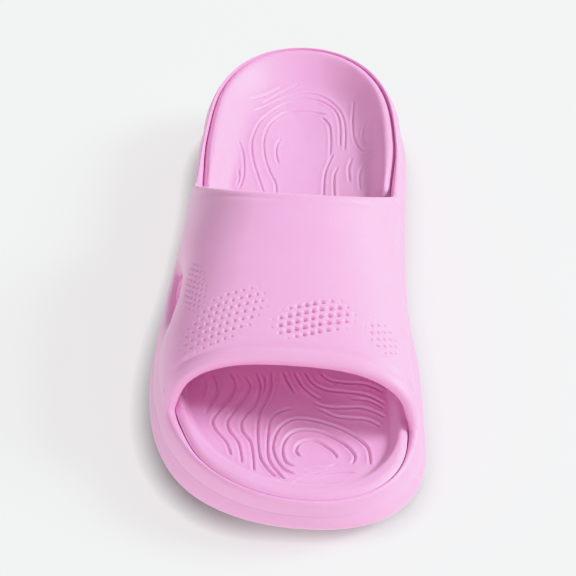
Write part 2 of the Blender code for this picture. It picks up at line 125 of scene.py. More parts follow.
# Heights and insets at places along the shoe, each a share of the size that STATION_SIZES gives it
STATIONS = {
    "along": (0.00, 0.12, 0.30, 0.50, 0.70, 0.86, 1.00),
    "rim": (0.970, 0.910, 0.850, 0.770, 0.700, 0.645, 0.605),
    "deck": (1.000, 0.940, 0.830, 0.740, 0.680, 0.690, 0.750),
    "crease": (1.00, 1.00, 1.00, 1.00, 0.95, 0.55, 0.35),
    "inset": (0.86, 1.00, 0.72, 0.95, 1.07, 0.80, 0.58),
    "shoulder": (0.45, 0.60, 0.85, 1.13, 1.10, 1.00, 0.95),
    "bed": (0.80, 0.90, 1.00, 1.20, 1.00, 0.90, 0.80),
    "ledge": (0.45, 0.75, 1.00, 1.00, 1.00, 1.15, 1.60),
    "cup": (1.30, 1.15, 0.75, 0.30, 0.25, 0.25, 0.22),
    "crest": (-0.30, -0.20, 0.00, 0.50, 1.00, 1.20, 1.20),
    "fall": (0.45, 0.90, 1.10, 1.00, 0.70, 0.55, 0.52),
}
STATION_SIZES = {
    "rim": HEEL_RIM_HEIGHT,
    "deck": HEEL_STACK,
    "crease": CREASE_INSET,
    "inset": RIM_INSET,
    "shoulder": RIM_SHOULDER,
    "bed": FOOTBED_THICKNESS,
    "ledge": LEDGE_WIDTH,
    "cup": CUP_RUN,
    "crest": LEDGE_CREST,
    "fall": LEDGE_FALL,
}

# Side of the sole: height share from ground to deck, and the shares of GROUND_INSET and of the crease inset
# there. The flare is widest at FLARE_SHARE, and over a groove the rows below it lie closer together
SOLE_SIDE = [
    # height, ground share, crease share
    (0.00, 1.00, 0.00),
    (0.05, 0.62, 0.00),
    (0.18, 0.20, 0.00),
    (0.45, 0.00, 0.00),
    (0.72, 0.00, 0.35),
    (0.93, 0.00, 0.90),
    (1.00, 0.00, 1.03),
]

# Where the sole leaves the floor, where its inner side is hollowed and where the footbed's arch support
# lies, as shares of LENGTH from the heel. A span rises from its first to its second share and falls from
# the third on
HEEL_BEVEL_END = 0.07
ARCH_SPAN = (0.36, 0.44, 0.50, 0.58)
TOE_SPRING_START = 0.77
TOE_SPRING_POWER = 1.7
SCOOP_SPAN = (0.64, 0.70, 0.77, 0.87)
ARCH_SUPPORT_SPAN = (0.22, 0.42, 0.50, 0.68)

# Band: where its edges leave the side wall and cross the crest, as shares of LENGTH from the heel
REAR_LATERAL = 0.390
REAR_MEDIAL = 0.408
MOUTH_LATERAL = 0.838
MOUTH_MEDIAL = 0.853
REAR_CREST = 0.540
MOUTH_CREST = 0.822
# Band from its rear edge to the mouth: place along the crest, height share between mouth and rear edge,
# the roundness exponent of the arch, and the thickness as a share of WALL
CREST = {
    "place": (0.00, 0.25, 0.50, 0.75, 1.00),
    "height": (1.00, 0.80, 0.57, 0.30, 0.00),
    "exponent": (2.35, 2.40, 2.45, 2.55, 2.65),
    "thickness": (1.00, 0.95, 0.95, 1.00, 1.35),
}
# Rows of the arch over its sill, as shares of its rise
ARCH_LIFTS = (0.42, 0.66, 0.84, 0.94, 0.985, 1.0)
# Sill on the outer side, where the band steps in behind the rim: share of SILL_TUCK at places along the band
SILL = {
    "place": (0.00, 0.22, 0.34, 0.50, 0.66, 0.78, 1.00),
    "tuck": (0.05, 0.05, 0.50, 1.00, 0.50, 0.05, 0.00),
}
# Share of the sill's tuck that the row above it takes
SILL_FOLLOW = 0.45

# Side wall under the rim: height and lean of its middle row, and how far its top rows lie under the rim, as a
# share of WALL
WALL_MIDDLE = 0.5
WALL_LEAN = 0.2
RIM_DROP_OUTER = 0.15
RIM_DROP_INNER = 0.25

# Divisions of the upper's ring: around the heel, along each side of the band, and around the toe. Those of
# the heel are closer together near the band, and those of the band near its vent, by the easing's share
HEEL_COLUMNS = 20
HEEL_EASING = 0.45
BAND_EASING = -0.30
BAND_COLUMNS = 9
TOE_COLUMNS = 12
# Columns of the band between which the vent is open under its outer edge
VENT_COLUMNS = (3, 6)
# Shares of the wall's thickness at which its bottom edge and its lips have extra rows
BOTTOM_SHARES = (0.04, 0.96)
LIP_SHARES = (0.5,)

# Where the tread's grooves cross, as shares of LENGTH from the heel
HEEL_GROOVES = (0.085, 0.140, 0.195, 0.250, 0.305)
FOREFOOT_GROOVES = (0.610, 0.660, 0.710, 0.760, 0.810, 0.860, 0.910)

# Columns down each side of the sole and footbed, and the room that those of a groove keep from the others
SIDE_COLUMNS = 230
COLUMN_SPACE = 0.3 * MM

# The footbed's ledge: where it ends behind the band, and how far before the mouth's corner it starts again on
# the outer side, as shares of LENGTH
LEDGE_REAR_END = 0.352
LEDGE_FRONT_LEAD = 0.02
# Share of the shoulder by which the rim's lip is thinner at heel and toe, and the span under the band that
# keeps all of it
LIP_SHARE = 0.45
LIP_SPAN = (0.25, 0.36, 0.86, 0.95)

# Fineness of the visual meshes: subdivisions of the upper, steps across the bed and across the other faces,
# rows of the cup and of the ledge's round edge, rows for each row of SOLE_SIDE, and steps up a groove's flank
UPPER_LEVEL = 3
BED_STEPS = 65
UNDER_STEPS = 16
CUP_ROWS = 26
ROUND_ROWS = 4
SIDE_ROWS = 4
FLANK_STEPS = 4

# Dimples of the band, in its own coordinates: u across it from the crest's middle, + on the inner side, and v
# behind the mouth. Small ones keep a share of the full radius
DIMPLE_RADIUS = 1.25 * MM
DIMPLE_DEPTH = 1.35 * MM
DIMPLE_LEAST = 0.45
# Sizes fall towards a cluster's edge by the slope, down to the smallest that is still pressed in
DIMPLE_SLOPE = 3.0
DIMPLE_SMALLEST = 0.12
# Steps of a cluster's lattice each way from its centre, enough to cover the largest
LATTICE_STEPS = 20
# Faces within DIMPLE_REACH radii of a dimple get DIMPLE_CUTS cuts along each edge
DIMPLE_REACH = 2.2
DIMPLE_CUTS = 3
# Both coordinates of what isn't on the band's outer face, in metres and so far beyond all that is
OFF_BAND = 1.0
# Clusters of dimples in mm: centre, half length and half width, turn in degrees, size at the middle, and the
# steps of the lattice to the next dimple across and along
CLUSTERS = [
    # u, v, half length, half width, turn, size, across, along
    (9.5, 18.8, 18.5, 8.8, 24.0, 1.00, (3.1, 1.1), (0.45, 3.3)),
    (-24.5, 18.5, 22.0, 11.0, 29.0, 0.55, (2.85, 0.6), (0.8, 3.3)),
    (36.5, 19.0, 9.5, 9.0, 40.0, 0.58, (2.9, 1.9), (0.4, 3.5)),
    (-36.8, 38.0, 15.5, 6.2, 102.0, 0.46, (2.1, 0.8), (0.3, 2.5)),
]

# Soft rolls along the band's mouth and rear edge: the distance of the trough behind each, its width and depth
MOUTH_ROLL = (5.2 * MM, 1.3 * MM, 0.80 * MM)
REAR_ROLL = (2.9 * MM, 0.9 * MM, 0.45 * MM)

# Contour lines of the footbed, each a groove between two soft banks that fades out at its ends
LINE_DEPTH = 0.70 * MM
LINE_WIDTH = 0.43 * MM
LINE_CUTS = 2
HEEL_STRENGTH = 0.62
LINE_SAMPLE = 0.25 * MM
LINE_FADE = 2.4 * MM
BANK_HEIGHT = 0.25 * MM
BANK_PLACE = 1.05 * MM
BANK_WIDTH = 0.5 * MM
# Depths under the ledge's crest where the lines end on the cup's wall and where they are full
LINE_END_DEPTH = 1.2 * MM
LINE_FULL_DEPTH = 3.2 * MM
# Least upward part of the normal where the lines are pressed in
FACING_UP = 0.3
# Points of each line in mm from the shoe's middle, x then y: waves on the outer side of the toe, rings round
# the ball of the big toe, sweeps under the mouth, and the loops of the heel
TOE_CONTOURS = [
    [(-30.5, -66), (-30, -70), (-30.5, -78)],
    [(-28, -63), (-26, -67), (-25, -72), (-27, -79), (-29.5, -85)],
    [(-21, -61), (-18.5, -67), (-19.5, -73), (-23, -80), (-26, -87), (-25, -92), (-20.5, -98.5),
     (-18, -106.5)],
    [(-15.5, -62), (-13, -67), (-14, -72), (-17.5, -79.5), (-20.5, -86.5), (-20, -91.5), (-16, -98.5),
     (-14, -110)],
    [(-11, -60), (-9, -68), (-10, -76), (-13, -81), (-15.5, -86), (-15, -91.5), (-11.5, -98), (-9.5, -114)],
    [(-5.5, -59), (-5, -67), (-6.5, -75), (-8.5, -80.5), (-9.5, -87.5), (-9, -97), (-7.5, -106), (-4, -113),
     (-1, -116.5)],
    [(-8, -61), (-7.5, -67), (-8.5, -73)],
    [(3.5, -78.5), (-1, -80), (-4.5, -84), (-5.5, -90.5), (-5.5, -99), (-4.5, -106.5), (-1, -113.5),
     (2, -117.5)],
    [(5.5, -114.5), (0.5, -110.5), (-2.5, -104), (-3.5, -97), (-1.5, -89), (3, -84.5), (8.5, -84),
     (15.5, -86), (21.5, -89), (27, -94), (31, -100), (32, -109)],
    [(5.5, -110), (1.5, -107), (0, -100), (1.5, -93.5), (5.5, -90), (12, -90), (18, -93), (23, -97.5),
     (26, -102.5), (26, -106), (24.5, -108)],
    [(7, -104.5), (5, -101), (5.5, -97.5), (7.5, -95.5), (11.5, -95), (16, -98), (19.5, -102.5),
     (19.5, -105)],
    [(8, -111), (16, -110), (20.5, -108)],
    [(8, -115), (14.5, -113)],
    [(4, -118.5), (11, -115.5), (20, -112.5), (27.5, -112.5)],
    [(-1, -59), (1, -65), (4, -71)],
    [(3, -59), (6, -66), (10, -71), (14, -73.5)],
    [(7, -59), (10.5, -65.5), (16, -68.5), (23.5, -70), (31, -72.5), (37.5, -77.5)],
    [(12.5, -59), (16, -63), (22.5, -65), (30, -66.5), (37, -71)],
    [(24, -73.5), (31, -75), (37, -79.5)],
    [(10, -75), (15.5, -77.5), (22.5, -78), (28.5, -78.5), (33.5, -81), (37.5, -84)],
    [(12, -78), (18.5, -82), (24.5, -83.5), (31, -85), (36, -89)],
]
HEEL_CONTOURS = [
    [(-7.5, 77.5), (-9.5, 72.5), (-9.5, 66), (-8, 60)],
    [(11.5, 92), (3.5, 94.5), (-5, 94), (-9, 91), (-13, 85), (-15, 76), (-14.5, 66), (-12, 56), (-9, 48),
     (-8.5, 38)],
    [(-13, 40), (-17, 53.5), (-19.5, 64.5), (-20, 74.5), (-17.5, 85.5), (-13, 92.5), (-7.5, 98.5), (0, 102),
     (7.5, 101), (14, 95), (16.5, 86), (17, 71)],
    [(-20.5, 92), (-14, 97.5), (-7, 103), (0, 105.5), (7.5, 104.5), (13.5, 99), (17.5, 91.5), (19, 81),
     (19, 68)],
    [(-22.5, 97.5), (-15.5, 103), (-8, 109)],
    [(-17.5, 97), (-9.5, 105), (-1, 111)],
    [(-26, 73.5), (-23.5, 65.5), (-22.5, 57), (-22.5, 49.5), (-24, 42)],
    [(-25, 55.5), (-24, 50), (-25, 44)],
    [(11, 38), (11, 53), (12.5, 61.5), (14.5, 68)],
    [(15.5, 38), (15, 53), (17, 59.5)],
    [(21.5, 48), (21, 58), (22.5, 64.5)],
    [(26, 42), (25.5, 53.5), (27.5, 59), (31.5, 61)],
    [(22.5, 99), (22, 86.5), (23, 75.5), (26.5, 68), (32, 66.5)],
    [(28, 85), (26.5, 79), (27.5, 72.5), (30, 70)],
    [(8.5, 91), (12, 85.5), (13, 76), (13, 65.5)],
]

# Foam: settings of its shader, the two colours that its mottling mixes with their places on the ramp, and the
# noises of the mottling and of the fine skin
FOAM = {
    "Roughness": 0.52,
    "Subsurface Weight": 0.2,
    "Subsurface Radius": (1.0, 0.25, 0.5),
    "Subsurface Scale": 3.0 * MM,
    "Specular IOR Level": 0.8,
    "Coat Weight": 0.3,
    "Coat Roughness": 0.45,
    "Sheen Weight": 0.18,
    "Sheen Roughness": 0.5,
}
FOAM_COLOURS = [
    # place, colour
    (0.3, (0.85, 0.400, 0.660, 1.0)),
    (0.7, (0.88, 0.425, 0.690, 1.0)),
]
MOTTLE_NOISE = {"Scale": 60.0, "Detail": 4.0}
SKIN_NOISE = {"Scale": 2200.0, "Detail": 2.0}
SKIN_BUMP = {"Strength": 0.12, "Distance": 0.2 * MM}

# Floor: half its width, how far it lies under the sole, its paper, its glow, and the painted contact shadow,
# in which the glow fades by the power within the reach of the shoe
FLOOR_HALF = 4.0
FLOOR_DROP = 0.2 * MM
PAPER = {
    "Base Color": (0.385, 0.372, 0.364, 1.0),
    "Roughness": 0.9,
    "Specular IOR Level": 0.1,
    "Emission Color": (1.0, 1.0, 1.0, 1.0),
}
FLOOR_GLOW = 0.66
# Reach and power of the painted contact shadow
PAINTED_SHADOW_REACH = 10.0 * MM
PAINTED_SHADOW_POWER = 1.6

# Camera, with angles in degrees: the point that its place was fitted round, and the one that it aims at
CAMERA_ELEVATION = 42.96
CAMERA_TURN = 1.94
CAMERA_DISTANCE = 0.850
FITTED_TARGET = (0.00278, -0.020, 0.0)
CAMERA_AIM = (-0.0014, -0.011, 0.020)
CAMERA_LENS = 134.0
SENSOR_WIDTH = 36.0
CLIP_START = 0.05

# Sky, and square lights that all face the frame's origin
SKY = {"Color": (1.0, 1.0, 1.0, 1.0), "Strength": 0.39}
LIGHTS = [
    # name, place, size, power, colour
    ("key", (2.00, 0.12, 1.30), 1.0, 90.0, (0.83, 0.97, 0.99)),
    ("rim", (1.70, 1.30, 0.45), 1.4, 24.0, (1.0, 1.0, 1.0)),
    ("fill", (-0.50, -2.20, 1.00), 1.6, 18.0, (1.0, 1.0, 1.0)),
    ("side", (-1.70, -0.90, 1.70), 1.6, 6.0, (0.70, 0.85, 1.0)),
]


def smooth_step(low, high, x):
    """0 below low, 1 above high and smooth between."""
    t = np.clip((x - low) / (high - low), 0.0, 1.0)
    return t * t * (3.0 - 2.0 * t)


def plateau(span, x):
    """1 between the span's middle two places, falling to 0 at its outer two."""
    return smooth_step(span[0], span[1], x) * (1 - smooth_step(span[2], span[3], x))


def monotone(xs, ys, x):
    """Smooth curve through (xs, ys) that overshoots none of its points."""
    xs = np.asarray(xs, float)
    ys = np.asarray(ys, float)
    h = np.diff(xs)
    slope = np.diff(ys) / h
    m = np.zeros(len(xs))
    m[0] = slope[0]
    m[-1] = slope[-1]
    for i in range(1, len(xs) - 1):
        if slope[i - 1] * slope[i] > 0:
            before = 2 * h[i] + h[i - 1]
            after = h[i] + 2 * h[i - 1]
            m[i] = (before + after) / (before / slope[i - 1] + after / slope[i])
    x = np.clip(x, xs[0], xs[-1])
    i = np.clip(np.searchsorted(xs, x, side="right") - 1, 0, len(h) - 1)
    t = (x - xs[i]) / h[i]
    a = (1 + 2 * t) * (1 - t) ** 2 * ys[i] + t * (1 - t) ** 2 * h[i] * m[i]
    b = t * t * (3 - 2 * t) * ys[i + 1] + t * t * (t - 1) * h[i] * m[i + 1]
    return a + b


def closed_spline(points, per_span):
    """Closed smooth curve through the points, with its direction, at per_span samples between neighbours."""
    p = np.asarray(points, float)
    n = len(p)
    nxt = np.roll(p, -1, axis=0)
    h = np.linalg.norm(nxt - p, axis=1)
    slope = (nxt - p) / h[:, None]
    matrix = np.zeros((n, n))
    right = np.zeros_like(p)
    for i in range(n):
        before = h[i - 1]
        after = h[i]
        matrix[i, i - 1] = after
        matrix[i, i] = 2 * (before + after)
        matrix[i, (i + 1) % n] = before
        right[i] = 3 * (after * slope[i - 1] + before * slope[i])
    m = np.linalg.solve(matrix, right)
    place = []
    direction = []
    for i in range(n):
        j = (i + 1) % n
        for t in np.arange(per_span) / per_span:
            place.append((1 + 2 * t) * (1 - t) ** 2 * p[i] + t * (1 - t) ** 2 * h[i] * m[i]
                         + t * t * (3 - 2 * t) * p[j] + t * t * (t - 1) * h[i] * m[j])
            direction.append((6 * t * t - 6 * t) * (p[i] - p[j]) / h[i]
                             + (3 * t * t - 4 * t + 1) * m[i] + (3 * t * t - 2 * t) * m[j])
    return np.array(place), np.array(direction)


def make_ring():
    """The flare's outline as fine samples from the heel's end down the outer side, round the toe and back."""
    rows = [(across * BALL_WIDTH, LENGTH * (0.5 - along)) for along, across in OUTLINE]
    xy, direction = closed_spline(rows, OUTLINE_SAMPLES)
    inward = np.stack([-direction[:, 1], direction[:, 0]], axis=1)
    inward /= np.linalg.norm(inward, axis=1)[:, None]
    start = int(np.argmax(xy[:, 1]))
    xy = np.roll(xy, -start, axis=0)
    inward = np.roll(inward, -start, axis=0)
    low = xy.min(axis=0)
    high = xy.max(axis=0)
    xy -= (low + high) / 2
    xy[:, 1] *= LENGTH / (high[1] - low[1])
    step = np.linalg.norm(np.roll(xy, -1, axis=0) - xy, axis=1)
    arc = np.concatenate([[0.0], np.cumsum(step)])
    return {
        "xy": np.vstack([xy, xy[:1]]),
        "inward": np.vstack([inward, inward[:1]]),
        "arc": arc / arc[-1],
        "toe": int(np.argmin(xy[:, 1])),
    }


RING = make_ring()


def ring_at(arc):
    """Place, inward normal, along share and side (-1 outer, +1 inner) at shares of the outline's length."""
    arc = np.asarray(arc, float)
    xy = np.stack([np.interp(arc, RING["arc"], RING["xy"][:, k]) for k in (0, 1)], axis=-1)
    inward = np.stack([np.interp(arc, RING["arc"], RING["inward"][:, k]) for k in (0, 1)], axis=-1)
    inward /= np.linalg.norm(inward, axis=-1)[..., None]
    along = np.clip(0.5 - xy[..., 1] / LENGTH, 0.0, 1.0)
    side = np.where(arc <= RING["arc"][RING["toe"]], -1.0, 1.0)
    return {"xy": xy, "inward": inward, "along": along, "side": side}


def arc_at(along, side):
    """Share of the outline's length where it passes the along share on the outer (-1) or inner (+1) side."""
    toe = RING["toe"]
    share = 0.5 - RING["xy"][:, 1] / LENGTH
    if side < 0:
        return np.interp(along, share[: toe + 1], RING["arc"][: toe + 1])
    return np.interp(along, share[toe:][::-1], RING["arc"][toe:][::-1])


def station(name, along):
    """A named height or inset at the along shares."""
    return STATION_SIZES[name] * monotone(STATIONS["along"], STATIONS[name], along)


def ground_height(along):
    heel = HEEL_BEVEL * np.clip(1 - along / HEEL_BEVEL_END, 0, 1) ** 2
    arch = ARCH_RISE * plateau(ARCH_SPAN, along)
    toe = TOE_SPRING * np.clip((along - TOE_SPRING_START) / (1 - TOE_SPRING_START), 0, 1) ** TOE_SPRING_POWER
    return heel + arch + toe


def scoop(along, side):
    """Depth of the hollow that the inner side has beside the ball of the foot."""
    return SCOOP_DEPTH * plateau(SCOOP_SPAN, along) * (side > 0)


def crease_inset(ring):
    return station("crease", ring["along"]) + scoop(ring["along"], ring["side"])


def inner_inset(ring):
    """Where the wall's inner face meets the footbed, further out where the lip is thin."""
    along = ring["along"]
    thinner = LIP_SHARE * station("shoulder", along) * (1 - plateau(LIP_SPAN, along))
    return station("inset", along) - thinner


def at_inset(ring, inset, z):
    """Points at an inset from the outline and at height z."""
    xy = ring["xy"] + ring["inward"] * np.asarray(inset)[..., None]
    return np.concatenate([xy, (np.zeros(len(xy)) + z)[:, None]], axis=1)


def through_points(points):
    """Control points of the closed uniform cubic B-spline that passes through the points."""
    n = len(points)
    matrix = (np.eye(n) * 4 + np.roll(np.eye(n), 1, axis=1) + np.roll(np.eye(n), -1, axis=1)) / 6
    return np.linalg.solve(matrix, points)


def upper_columns():
    """Places of the upper's columns round the outline, from the band's rear corner on the outer side."""
    rear_l = arc_at(REAR_LATERAL, -1)
    mouth_l = arc_at(MOUTH_LATERAL, -1)
    mouth_m = arc_at(MOUTH_MEDIAL, 1)
    rear_m = arc_at(REAR_MEDIAL, 1)
    spans = [
        (rear_l, mouth_l, BAND_COLUMNS, BAND_EASING),
        (mouth_l, mouth_m, TOE_COLUMNS, 0.0),
        (mouth_m, rear_m, BAND_COLUMNS, BAND_EASING),
        (rear_m, rear_l + 1.0, HEEL_COLUMNS, HEEL_EASING),
    ]
    arcs = []
    for first, last, count, easing in spans:
        t = np.arange(count) / count
        arcs.append(first + (last - first) * (t - easing * np.sin(2 * np.pi * t) / (2 * np.pi)))
    return np.concatenate(arcs) % 1.0


def corner_rise(ring):
    """Height that the rim gains where it sweeps up into the band's rear edge."""
    rear = np.where(ring["side"] < 0, REAR_LATERAL, REAR_MEDIAL)
    run = CORNER_RUN / LENGTH
    return CORNER_RISE * (1 - smooth_step(0, run, np.abs(ring["along"] - rear)))


def upper_wall(ring):
    """Rows of the side wall from deck to rim, outer then inner, as control points of closed curves."""
    along = ring["along"]
    deck = station("deck", along) + GAP / 2
    rim = station("rim", along) + corner_rise(ring)
    height = rim - deck
    crease = crease_inset(ring)
    inner = inner_inset(ring)
    shoulder = station("inset", along) - station("shoulder", along)
    outer_rows = [
        (crease + EDGE_ROUND, deck),
        (crease, deck + EDGE_BAND),
        (crease + WALL_LEAN * (shoulder - crease), deck + WALL_MIDDLE * height),
        (shoulder, rim - RIM_DROP_OUTER * WALL),
    ]
    inner_rows = [
        (inner, deck),
        (inner, deck + EDGE_BAND),
        (inner, deck + WALL_MIDDLE * height),
        (inner, rim - RIM_DROP_INNER * WALL),
    ]
    outer = [through_points(at_inset(ring, inset, z)) for inset, z in outer_rows]
    inside = [through_points(at_inset(ring, inset, z)) for inset, z in inner_rows]
    return outer, inside


def band_arch(lateral, medial):
    """Grid of the band's outer face: for each column the points between its two springing points."""
    columns = len(lateral)
    rows = []
    for k in range(columns):
        place = k / (columns - 1)
        base = (lateral[k] + medial[k]) / 2
        share = monotone(CREST["place"], CREST["height"], place)
        exponent = monotone(CREST["place"], CREST["exponent"], place)
        crest_z = MOUTH_HEIGHT + (REAR_EDGE_HEIGHT - MOUTH_HEIGHT) * share
        crest_y = LENGTH * (0.5 - (REAR_CREST + (MOUTH_CREST - REAR_CREST) * place))
        rise = crest_z - base[2]
        lifts = (SILL_HEIGHT / rise,) + ARCH_LIFTS
        row = []
        for lift in lifts + lifts[-2::-1]:
            half = (1 - min(lift, 1.0) ** exponent) ** (1 / exponent)
            sign = -1 if len(row) < len(lifts) else 1
            tau = 0.5 + 0.5 * sign * half
            point = lateral[k] + (medial[k] - lateral[k]) * tau
            point = point + np.array([CREST_SHIFT, crest_y - base[1], rise]) * lift
            row.append(point)
        rows.append(row)
    return np.array(rows)


def face_normals(grid, edge_low, edge_high):
    """Unit normals of a grid of points, whose rows run between two lines of points at its sides."""
    full = np.concatenate([edge_low[:, None], grid, edge_high[:, None]], axis=1)
    across = np.gradient(full, axis=1)[:, 1:-1]
    lengthwise = np.gradient(grid, axis=0)
    normal = np.cross(across, lengthwise)
    normal /= np.linalg.norm(normal, axis=2)[..., None]
    if normal[..., 2].mean() < 0:
        normal = -normal
    return normal


def thick_sheet(outer, inner, faces, bottom_count):
    """Joins an outer and an inner sheet of the same faces round their edges, bottom points first."""
    size = len(outer)
    verts = list(outer) + list(inner)
    solid = [tuple(f) for f in faces] + [tuple(v + size for v in reversed(f)) for f in faces]
    edges = set()
    for f in faces:
        for a, b in zip(f, f[1:] + f[:1]):
            edges.add((a, b))
    border = [(a, b) for a, b in edges if (b, a) not in edges]
    after = dict(border)
    before = {b: a for a, b in border}
    chains = {}
    for v in sorted(after):
        thickness = outer[v] - inner[v]
        if v < bottom_count:
            shares = BOTTOM_SHARES
            bulge = np.zeros(3)
        else:
            shares = LIP_SHARES
            tangent = outer[after[v]] - outer[before[v]]
            bulge = np.cross(tangent, thickness)
            bulge *= LIP_BULGE / np.linalg.norm(bulge)
        chain = [v]
        for share in shares:
            chain.append(len(verts))
            verts.append(outer[v] - thickness * share + bulge)
        chain.append(v + size)
        chains[v] = chain
    for a, b in sorted(border):
        for i in range(len(chains[a]) - 1):
            solid.append((chains[b][i], chains[a][i], chains[a][i + 1], chains[b][i + 1]))
    return np.array(verts), solid


def side_shares(extra):
    """Along shares of one side's columns, close together at both ends, with the extra ones kept exact."""
    plain = (1 - np.cos(np.pi * np.arange(SIDE_COLUMNS + 1) / SIDE_COLUMNS)) / 2
    kept = [a for a in plain if all(abs(a - e) > COLUMN_SPACE / LENGTH for e in extra)]
    return np.array(sorted(set(kept) | set(extra)))


def full_ring(shares):
    """Ring of columns at the along shares, down the outer side and back up the inner one."""
    outer_side = [0.0] + [arc_at(a, -1) for a in shares[1:-1]] + [RING["arc"][RING["toe"]]]
    inner_side = [arc_at(a, 1) for a in shares[-2:0:-1]]
    return ring_at(np.array(outer_side + inner_side))


def ladder(points, ring, steps, place):
    """Fills a closed ring of columns with rungs from side to side. Returns the new points and the faces."""
    count = len(ring)
    half = count // 2
    rungs = [[ring[0]]]
    extra = []
    for c in range(1, half):
        a = points[ring[c]]
        b = points[ring[count - c]]
        rung = [ring[c]]
        for s in range(1, steps):
            rung.append(len(points) + len(extra))
            extra.append(place(a, b, s / steps))
        rung.append(ring[count - c])
        rungs.append(rung)
    rungs.append([ring[half]])
    faces = []
    for first, second in zip(rungs, rungs[1:]):
        if len(first) == 1:
            faces.extend((first[0], second[s], second[s + 1]) for s in range(steps))
        elif len(second) == 1:
            faces.extend((first[s], second[0], first[s + 1]) for s in range(steps))
        else:
            faces.extend((first[s], second[s], second[s + 1], first[s + 1]) for s in range(steps))
    return extra, faces


def stack_rings(rings, low_steps, high_steps, bottom_place, top_place):
    """Closed solid of rings stacked from the bottom to the top, with a ladder across each end."""
    count = len(rings[0])
    points = [p for ring in rings for p in ring]
    faces = []
    for r in range(len(rings) - 1):
        for c in range(count):
            d = (c + 1) % count
            faces.append((r * count + c, r * count + d, (r + 1) * count + d, (r + 1) * count + c))
    extra, low = ladder(points, list(range(count)), low_steps, bottom_place)
    points.extend(extra)
    faces.extend(tuple(reversed(f)) for f in low)
    last = (len(rings) - 1) * count
    extra, high = ladder(points, list(range(last, last + count)), high_steps, top_place)
    points.extend(extra)
    faces.extend(high)
    return points, faces


def groove_shares():
    """Along shares of each groove's four lines: its two edges, and its floor's two edges between them."""
    half = GROOVE_WIDTH / 2 / LENGTH
    draft = GROOVE_DRAFT / LENGTH
    lines = []
    for middle in HEEL_GROOVES + FOREFOOT_GROOVES:
        lines.append((middle - half, middle - half + draft, middle + half - draft, middle + half))
    return lines


def groove_lift(along):
    """Height of the tread over the ground face: 0 on a lug, GROOVE_DEPTH in a groove, with round edges."""
    lift = np.zeros(len(along))
    for a, b, c, d in groove_shares():
        inside = np.minimum((along - a) / (b - a), (d - along) / (d - c))
        lift = np.maximum(lift, GROOVE_DEPTH * smooth_step(0, 1, inside))
    return lift


def groove_columns():
    """Along shares of the fine columns down both sides of every groove."""
    columns = []
    for a, b, c, d in groove_shares():
        columns.extend(np.linspace(a, b, FLANK_STEPS + 1))
        columns.extend(np.linspace(c, d, FLANK_STEPS + 1))
    return columns


def sole_side(ring, share, lift):
    """One ring of the sole's side at a height share, kept above the grooves that cut its lower edge."""
    along = ring["along"]
    ground = ground_height(along)
    deck = station("deck", along) - GAP / 2
    start = lift / (deck - ground)
    raised = start + (FLARE_SHARE - start) * share / FLARE_SHARE
    share = np.where(share < FLARE_SHARE, raised, share)
    heights = [row[0] for row in SOLE_SIDE]
    inset = GROUND_INSET * monotone(heights, [row[1] for row in SOLE_SIDE], share)
    inset = inset + crease_inset(ring) * monotone(heights, [row[2] for row in SOLE_SIDE], share)
    return at_inset(ring, inset, ground + (deck - ground) * share)


def ledge_share(along, side):
    """1 where the footbed's edge stands up as a ledge at heel and toe, 0 where it runs low under the band."""
    run = LEDGE_END_RUN / LENGTH
    front = np.where(side < 0, MOUTH_LATERAL - LEDGE_FRONT_LEAD, MOUTH_MEDIAL)
    return 1 - plateau((LEDGE_REAR_END, LEDGE_REAR_END + run, front - run, front), along)


def bed_height(x, along):
    """Height of the footbed's face, without the dish along its edge."""
    base = station("deck", along) + station("bed", along)
    arch = ARCH_SUPPORT * plateau(ARCH_SUPPORT_SPAN, along)
    return base + arch * np.clip(x / (ARCH_SUPPORT_START * BALL_WIDTH), 0, 1) ** 2


def new_mesh(name, verts, faces):
    mesh = bpy.data.meshes.new(name)
    mesh.from_pydata([tuple(map(float, v)) for v in verts], [], faces)
    mesh.validate()
    return mesh


def new_piece(name, mesh, node, material):
    """A visual piece that stands for a CAD node."""
    mesh.shade_smooth()
    mesh.materials.append(material)
    piece = bpy.data.objects.new(name, mesh)
    bpy.context.scene.collection.objects.link(piece)
    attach(piece, "root")
    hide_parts(node)


def band_places(grid):
    """Distances of the band's points: across it from its middle, from the mouth and from the rear edge."""
    across = np.linalg.norm(np.diff(grid, axis=1), axis=2)
    across = np.concatenate([np.zeros((len(grid), 1)), np.cumsum(across, axis=1)], axis=1)
    across -= across[:, [grid.shape[1] // 2]]
    along = np.linalg.norm(np.diff(grid, axis=0), axis=2)
    along = np.concatenate([np.cumsum(along[::-1], axis=0)[::-1], np.zeros((1, grid.shape[1]))], axis=0)
    return np.stack([across, along, along[0] - along], axis=-1)


